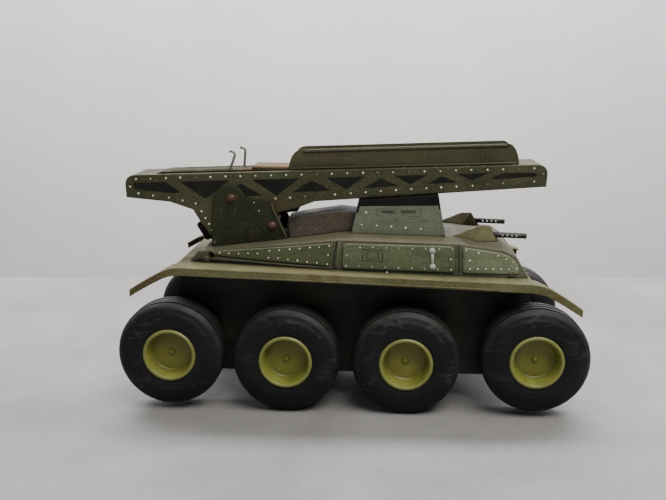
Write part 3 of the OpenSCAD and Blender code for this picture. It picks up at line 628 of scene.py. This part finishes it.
def dots(name, body, face, points, radius=0.66, height=0.2, faint=0.12, sides=10):
    """Low domes of paint, pressed up from behind; some have lost most of their white"""
    bm = bmesh.new()
    for u, v in points:
        worn = int(random.random() < faint)
        hit, normal = face.at(u + random.uniform(-0.25, 0.25), v + random.uniform(-0.15, 0.15))
        across = normal.orthogonal().normalized()
        along = normal.cross(across)
        size = radius * random.uniform(0.78, 1.08)
        rings = []
        for share, lift in ((1.0, -DOT_SINK), (0.86, height * 0.55), (0.5, height * 0.92)):
            ring = []
            for a in around(sides):
                offset = (across * math.cos(a) + along * math.sin(a)) * size * share + normal * lift
                ring.append(bm.verts.new(hit + offset * MM))
            rings.append(ring)
        top = bm.verts.new(hit + normal * height * MM)
        made = [bm.faces.new(rings[0][::-1])]
        for low, high in zip(rings, rings[1:]):
            for k in range(sides):
                made.append(bm.faces.new((low[k], low[(k + 1) % sides], high[(k + 1) % sides], high[k])))
        for k in range(sides):
            made.append(bm.faces.new((rings[-1][k], rings[-1][(k + 1) % sides], top)))
        for piece_face in made:
            piece_face.material_index = worn
    bmesh.ops.recalc_face_normals(bm, faces=bm.faces)
    piece = add_piece(name, body, DOT, bm)
    piece.data.materials.append(DOT_FAINT)
    return piece


def band(points, width):
    """Outline of a strip of one width along a line of points"""
    left, right = [], []
    for i, point in enumerate(points):
        here = Vector(point)
        ahead = Vector(points[min(i + 1, len(points) - 1)]) - Vector(points[max(i - 1, 0)])
        side = Vector((-ahead.y, ahead.x)).normalized() * width / 2
        left.append(tuple(here + side))
        right.append(tuple(here - side))
    return left + right[::-1]


def line_of(start, end, count):
    """Evenly spaced points from start to end"""
    return [(start[0] + (end[0] - start[0]) * i / (count - 1),
             start[1] + (end[1] - start[1]) * i / (count - 1)) for i in range(count)]


def tube(name, body, material, points, radius, sides):
    """A round rod swept along world points in millimetres"""
    bm = bmesh.new()
    rings = []
    normal = None
    for i, point in enumerate(points):
        after, before = points[min(i + 1, len(points) - 1)], points[max(i - 1, 0)]
        ahead = (Vector(after) - Vector(before)).normalized()
        if normal is None:
            normal = ahead.orthogonal().normalized()
        normal = (normal - ahead * normal.dot(ahead)).normalized()
        other = ahead.cross(normal)
        ring = []
        for a in around(sides):
            out = (normal * math.cos(a) + other * math.sin(a)) * radius
            ring.append(bm.verts.new((Vector(point) + out) * MM))
        rings.append(ring)
    for low, high in zip(rings, rings[1:]):
        for k in range(sides):
            bm.faces.new((low[k], low[(k + 1) % sides], high[(k + 1) % sides], high[k]))
    bm.faces.new(rings[0][::-1])
    bm.faces.new(rings[-1])
    bmesh.ops.recalc_face_normals(bm, faces=bm.faces)
    return add_piece(name, body, material, bm)


# The two sides of the object and the sign of Y on each
SIDES = (("right", -1), ("left", 1))
# Where the hull's sides bend, so that a piece laid over a bend is cut there and follows it
HULL_CUTS = [("u", x) for x in (-87, -38, -8, 2, 60, 85, 92)]

# ---- hull sides ----

for word, sign in SIDES:
    side = Face(["hull_shell"], DECK, "side", sign)
    relief("panel_middle_" + word, "hull", PANEL, side,
           [rounded([(-4.6, 15.0), (58.0, 16.1), (58.6, 1.3), (-4.4, 0.8)], [3.2, 3.2, 2, 2])],
           lift=0.75, rim=1.3, cuts=HULL_CUTS, steps=3, hold=0.5)
    relief("panel_front_" + word, "hull", PANEL_FRONT, side,
           [rounded([(62.4, 15.8), (84, 13.2), (90.2, 10.8), (94.4, 6.0), (94.5, 1.6), (62.7, 1.4)],
                    [1.5, 3, 3, 3, 1.5, 1.5])], lift=0.65, rim=1.1, cuts=HULL_CUTS, steps=3,
           hold=0.5)
    relief("panel_rear_" + word, "hull", PANEL_REAR, side,
           [rounded([(-79.5, 6.4), (-38, 11.2), (-10.4, 14.8), (-11.4, 1.6), (-45, 2.5),
                     (-79.5, 4.2)], [0.6, 3, 2.2, 1.6, 3, 0.6])], lift=0.6, rim=1.0, cuts=HULL_CUTS,
           steps=3, hold=0.4)
    relief("seams_" + word, "hull", BLACK, side,
           [[(-8.3, 15.8), (-7.7, 15.8), (-7.8, 12.6), (-8.5, 9.8), (-8.3, 6.6), (-9.0, 3.4),
             (-9.2, 0.8), (-9.8, 0.8), (-9.8, 3.6), (-9.2, 6.4), (-9.2, 9.6), (-8.5, 12.4)],
            [(59.8, 16.2), (60.2, 16.2), (60.5, 11.0), (61.1, 6.0), (61.1, 1.6), (60.6, 1.6),
             (60.4, 6.0), (60.0, 11.0)]], lift=0.06, rim=0.06, cuts=HULL_CUTS, steps=1)
    relief("ridges_" + word, "hull", PANEL, side,
           [rounded(band([(-6.4, 15.6), (-7.6, 1.0)], 1.2), 0.5),
            rounded(band([(-10.2, 15.0), (-11.0, 9.0)], 0.8), 0.4)],
           lift=0.45, rim=0.4, cuts=HULL_CUTS)
    # A black strip along the foot: painted shade in the gap under the hull's foot
    relief("foot_gap_" + word, "hull", BLACK, side,
           [[(-88.8, 0.15), (-84.6, 0.15), (-84.6, 1.5), (-88.6, 1.3)],
            [(-80.0, 0.15), (-33.0, 0.1), (-33.0, 0.3), (-80.0, 1.6)]],
           lift=0.06, rim=0.05, cuts=HULL_CUTS, steps=1)
    relief("foot_flange_" + word, "hull", FLANGE, side,
           [band([(-86.5, 2.3), (-60, 1.85), (-33, 1.0), (-10, 0.9)], 1.1)],
           lift=0.35, rim=0.35, cuts=HULL_CUTS)
    relief("foot_lugs_" + word, "hull", FLANGE, side,
           [rounded([(x - 1.8, 0.1), (x - 1.6, 3.4), (x + 1.6, 3.4), (x + 1.8, 0.1)], 0.5)
            for x in (-82.2, 90.0)], lift=0.7, rim=0.4, cuts=HULL_CUTS)
    dots("dots_hull_" + word, "hull", Face(["hull_shell"], DECK, "side", sign),
         line_of((-74.5, 5.5), (-52.8, 6.5), 5) + line_of((-45.7, 8.4), (-11.9, 12.9), 7)
         + line_of((-46.3, 4.7), (-12.8, 3.0), 7) + [(-12.4, 8.0)]
         + line_of((5.1, 13.2), (56.4, 14.4), 8) + line_of((-2.4, 2.7), (56.6, 3.3), 9)
         + [(-2.0, 8.3), (56.2, 9.0), (20.8, 0.1)] + line_of((66.7, 3.9), (92.6, 4.6), 7)
         + [(64.4, 14.0), (71.0, 13.0), (76.6, 12.2), (82.0, 11.4), (87.0, 9.9), (90.8, 8.0),
            (66.2, 8.6)], radius=0.66, height=0.92, faint=0.03)
    relief("hatch_outline_" + word, "hull", LINE, side,
           [band([(6.8, 12.1), (18.2, 12.3)], 0.35), band([(6.8, 5.9), (18.2, 6.1)], 0.35),
            band([(6.9, 12.1), (6.9, 5.9)], 0.35), band([(18.1, 12.3), (18.1, 6.1)], 0.35),
            band([(9.3, 10.9), (16.0, 11.0)], 0.3), band([(9.3, 7.1), (16.0, 7.2)], 0.3),
            band([(9.4, 10.9), (9.4, 7.1)], 0.3), band([(15.9, 11.0), (15.9, 7.2)], 0.3)],
           lift=0.8, rim=0.06, cuts=HULL_CUTS, steps=1)
    knobs = [[(x + 1.75 * math.cos(a), z + 1.75 * math.sin(a)) for a in around(18)]
             for x, z in ((45.5, 12.9), (46.1, 4.3))]
    relief("handle_" + word, "hull", HANDLE, side,
           [band([(45.6, 12.6), (46.0, 4.6)], 1.5)] + knobs, lift=1.15, rim=0.3)

# ---- turret ----

for word, sign in SIDES:
    side = Face(["turret"], WORLD, "side", sign)
    dots("dots_turret_" + word, "hull", side,
         [(8.4, 108.9), (6.4, 102.2), (15.0, 101.7), (23.3, 101.2), (31.6, 100.8), (39.9, 100.3)],
         radius=0.6, height=0.2, faint=0.1)
    relief("turret_slot_" + word, "hull", LINE, side,
           [band([(14.6, 111.0), (39.8, 111.4)], 0.25), band([(14.9, 107.2), (39.9, 107.0)], 0.25),
            band([(14.7, 111.0), (14.9, 107.2)], 0.25), band([(39.7, 111.4), (39.8, 107.0)], 0.25),
            rounded([(17.5, 110.2), (25.5, 110.3), (25.4, 108.6), (17.5, 108.6)], 0.3),
            rounded([(28.6, 110.5), (37.2, 110.6), (37.0, 108.8), (28.5, 108.8)], 0.3)],
           lift=0.06, rim=0.06, steps=1)
front = Face(["turret"], WORLD, "end", 1)
dots("dots_turret_front", "hull", front, [(y, 101.2) for y in (-17, -8.5, 0, 8.5, 17)],
     radius=0.6, height=0.2, faint=0.1)

# ---- bracket ----

for word, sign in SIDES:
    side = Face(["launcher_bracket"], WORLD, "side", sign)
    relief("bracket_hem_" + word, "hull", FLANGE, side,
           [rounded(band([(-46.6, 112.6), (-45.0, 107.6), (-38.6, 93.6), (-38.9, 91.2)], 1.3),
                    0.5)], lift=0.4, rim=0.4)
    dots("dots_bracket_" + word, "hull", side,
         [(-68.3, 109.6), (-76.6, 108.9), (-57.1, 113.4), (-53.9, 108.6), (-54.6, 96.4),
          (-76.7, 103.3)], radius=0.38, height=0.12, faint=0.85)
    for which, x, z in (("pivot", PIVOT_X, PIVOT_Z), ("spacer", -46.5, 99.7)):
        outer = [(x + 0.4 + 3.3 * math.cos(a) * (1 + 0.12 * math.sin(3 * a)),
                  z + 3.0 * math.sin(a) * (1 + 0.1 * math.cos(2 * a))) for a in around(20)]
        relief("rust_ring_%s_%s" % (which, word), "hull",
               STAIN, side, [outer], lift=0.06, rim=0.4)

# ---- girder ----

GIRDER_DOTS = line_of((-55.9, 12.7), (174.9, 12.9), 27) + [(-59.6, 8.4), (180.0, 9.6)]
GIRDER_DOTS += [(-55.0, 4.2), (-46.3, 2.6), (-37.3, 1.1), (-29.0, -0.6), (-21.6, -2.6)]
GIRDER_DOTS += [(-18.2, -7.4), (-16.2, -11.6), (-14.2, -15.0), (-12.6, -18.4)]
GIRDER_DOTS += line_of((26.0, -1.0), (61.0, 0.8), 5) + line_of((69.9, 1.2), (174.8, 5.4), 13)
TRUSS_SHAPES = [
    [(-57.4, 10.5), (-38.6, 10.6), (-29.8, 4.4), (-33.8, 3.7), (-46.0, 5.3), (-57.6, 7.0)],
    [(-29.6, 10.5), (-0.4, 10.7), (-14.4, 0.7), (-16.0, 0.4)],
    [(6.0, 8.6), (18.4, 1.2), (-5.6, 1.2)],
    [(13.0, 10.6), (40.6, 10.7), (26.8, 0.9)],
    [(47.6, 9.4), (58.6, 3.3), (36.0, 2.6)],
    [(56.4, 10.7), (78.2, 10.8), (67.6, 3.6)],
    [(87.8, 9.6), (98.0, 4.9), (77.8, 4.1)],
    [(95.4, 10.8), (114.6, 10.9), (104.8, 5.6)],
    [(122.6, 9.8), (131.4, 6.2), (114.6, 5.6)],
    [(130.8, 10.9), (149.3, 11.0), (140.1, 7.2)],
    [(156.6, 10.7), (176.2, 10.5), (176.2, 8.5), (152.8, 7.3), (150.8, 8.0)]
]
for word, sign in SIDES:
    side = Face(["girder"], GIRDER, "side", sign)
    dots("dots_girder_" + word, "girder", side, GIRDER_DOTS, radius=0.66, height=0.2)
    relief("truss_print_" + word, "girder", TRUSS, side,
           [rounded(shape, 0.35, 2) for shape in TRUSS_SHAPES], lift=0.06, rim=0.08, steps=1)
top = Face(["girder", "slide_cover"], GIRDER, "top", 1)
dots("dots_girder_top", "girder", top,
     [(u, y) for u in range(92, 180, 9) for y in (-13.8, 13.8)], radius=0.45, height=0.15, faint=0.5)

# The cover's brown step behind the cradle
relief("cover_step", "girder", STEP, top,
       [rounded([(12.0, -10.6), (12.0, 10.6), (39.2, 10.6), (39.2, -10.6)], 1.5)],
       lift=2.0, rim=1.6, steps=3, hold=0.5)

# Rolled lips along the tops of the cradle walls, and folds along their feet
for word, sign in SIDES:
    side = Face(["cradle"], GIRDER, "side", sign)
    relief("cradle_lip_" + word, "girder", CRADLE, side,
           [rounded([(42.6, 25.3), (45.4, 26.85), (158.6, 26.85), (161.6, 25.6), (158.6, 25.1),
                     (46.0, 25.1)], 0.5)], lift=0.45, rim=0.5)
    relief("cradle_foot_" + word, "girder", CRADLE, side,
           [rounded(band([(35.2, 15.7), (166.2, 15.7)], 1.2), 0.4)], lift=0.5, rim=0.5)

# ---- fender ----

for word, sign in SIDES:
    side = Face(["fender_plate"], DECK, "side", sign)
    relief("fender_hem_" + word, "hull", HEM, side,
           [band([(x, -3.7) for x in range(-62, 100, 18)], 0.9)], lift=0.3, rim=0.3)
    deck_top = Face(["fender_plate"], DECK, "top", 1)
    relief("fender_slots_" + word, "hull", BLACK, deck_top,
           [rounded(band([(-54.9, sign * 52.2), (-49.6, sign * 52.3)], 0.6), 0.2),
            rounded(band([(-23.9, sign * 51.9), (-17.6, sign * 52.1)], 0.6), 0.2)],
           lift=0.05, rim=0.06, steps=1)

# ---- springs ----

def helix(start, end, radius, turns, centre_z):
    """Points of a coil along the girder, in world millimetres"""
    count = turns * COIL_STEPS
    points = []
    for k in range(count + 1):
        a = 2 * math.pi * k / COIL_STEPS
        local = Vector((start + (end - start) * k / count, radius * math.cos(a),
                        centre_z + radius * math.sin(a)))
        points.append((GIRDER @ (local * MM)) / MM)
    return points


spring = tube("launch_spring_coil", "girder", STEEL, helix(**LAUNCH_COIL), radius=0.35, sides=6)
# A blended piece hangs on no single body
spring.parent = None
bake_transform(spring)
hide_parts("launch_spring")

low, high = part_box("catch_spring")
middle = (low + high) / 2 / MM
coil_start, coil_length = low.y / MM + CATCH_INSET, (high.y - low.y) / MM * CATCH_SHARE
coil_count = CATCH_TURNS * COIL_STEPS
coil = []
for k in range(coil_count + 1):
    a = 2 * math.pi * k / COIL_STEPS
    coil.append(Vector((middle.x + CATCH_RADIUS * math.cos(a), coil_start + coil_length * k / coil_count,
                        middle.z + CATCH_RADIUS * math.sin(a))))
catch = tube("catch_spring_coil", "hull", STEEL, coil, radius=0.3, sides=6)
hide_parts("catch_spring")

# ---- floor, backdrop, light and camera ----

def stage_paint(name, shades, bump):
    s = Shader(name)
    colour = s.ramp(s.noise(7, 6, 0.65, 0.2),
                    [(0.3, shades[0]), (0.5, shades[1]), (0.7, shades[2])], colours=True)
    speck = s.ramp(s.noise(500, 4, 0.7), [(0.45, 0.0), (0.8, 0.5)])
    colour = s.mix(speck, colour, tuple(min(255, c + 16) for c in shades[2]))
    s.bump([(s.noise(220, 4), bump, 0.2)])
    return s.finish(colour, s.ramp(s.noise(20, 3), [(0.3, 0.5), (0.7, 0.65)]))


def flat_piece(name, corners, material):
    data = bpy.data.meshes.new(name)
    data.from_pydata([Vector(c) * MM for c in corners], [], [list(range(len(corners)))])
    data.materials.append(material)
    piece = bpy.data.objects.new(name, data)
    bpy.context.scene.collection.objects.link(piece)


CAMERA_AT = Vector((18.1, -483.4, 188.0))
CAMERA_YAW, CAMERA_DOWN = 3.54, 12.35
# The floor ends where the photograph's table meets its wall. The backdrop stands further back, clear of a
# camera behind the object.
EDGE_DISTANCE, WALL_DISTANCE = 740, 1700
STAGE_REACH, WALL_FOOT, WALL_TOP = 4000, -1500, 3000
WASH_BEFORE_WALL, WASH_HEIGHT, WASH_AIM = 500, 1500, -100
SKY_TINT, SKY_STRENGTH = (0.97, 0.98, 1.0, 1), 0.1
heading = Vector((-math.sin(math.radians(CAMERA_YAW)), math.cos(math.radians(CAMERA_YAW)), 0))
across = Vector((heading.y, -heading.x, 0))
below_camera = Vector((CAMERA_AT.x, CAMERA_AT.y, 0))
table_edge = below_camera + heading * EDGE_DISTANCE
wall = below_camera + heading * WALL_DISTANCE
sideways = across * STAGE_REACH
flat_piece("floor", [table_edge - sideways, table_edge - sideways - heading * STAGE_REACH,
                     table_edge + sideways - heading * STAGE_REACH, table_edge + sideways],
           stage_paint("floor_paint", [(98, 96, 94), (112, 110, 108), (127, 125, 123)], 0.14))
foot, head = Vector((0, 0, WALL_FOOT)), Vector((0, 0, WALL_TOP))
flat_piece("backdrop", [wall - sideways + foot, wall + sideways + foot, wall + sideways + head,
                        wall - sideways + head],
           stage_paint("wall_paint", [(224, 222, 220), (228, 226, 224), (232, 230, 228)], 0.05))


def area_light(name, at, towards, size, power, tint=(1, 1, 1)):
    data = bpy.data.lights.new(name, "AREA")
    data.shape = "RECTANGLE"
    data.size, data.size_y = size[0] * MM, size[1] * MM
    data.energy = power
    data.color = tint
    lamp = bpy.data.objects.new(name, data)
    lamp.location = Vector(at) * MM
    lamp.rotation_euler = (Vector(towards) - Vector(at)).to_track_quat("-Z", "Y").to_euler()
    bpy.context.scene.collection.objects.link(lamp)


area_light("key", (380, -420, 950), (0, 0, 60), size=(800, 600), power=17, tint=(1.0, 0.985, 0.96))
area_light("fill", (-800, -700, 500), (0, 0, 60), size=(900, 700), power=1.2, tint=(0.94, 0.97, 1.0))
area_light("wall_wash", wall - heading * WASH_BEFORE_WALL + Vector((0, 0, WASH_HEIGHT)),
           wall + Vector((0, 0, WASH_AIM)), size=(2500, 500), power=100)
area_light("top", (0, 60, 1100), (0, 40, 0), size=(1200, 800), power=3.5)

world = bpy.data.worlds.new("studio")
world.use_nodes = True
world.node_tree.nodes["Background"].inputs[0].default_value = SKY_TINT
world.node_tree.nodes["Background"].inputs[1].default_value = SKY_STRENGTH
bpy.context.scene.world = world

camera_data = bpy.data.cameras.new("camera")
camera_data.lens = 43.95
camera_data.sensor_width = 36
camera_data.clip_start = 0.01
camera = bpy.data.objects.new("camera", camera_data)
camera.location = CAMERA_AT * MM
camera.rotation_euler = (math.radians(90 - CAMERA_DOWN), 0, math.radians(CAMERA_YAW))
bpy.context.scene.collection.objects.link(camera)
bpy.context.scene.camera = camera
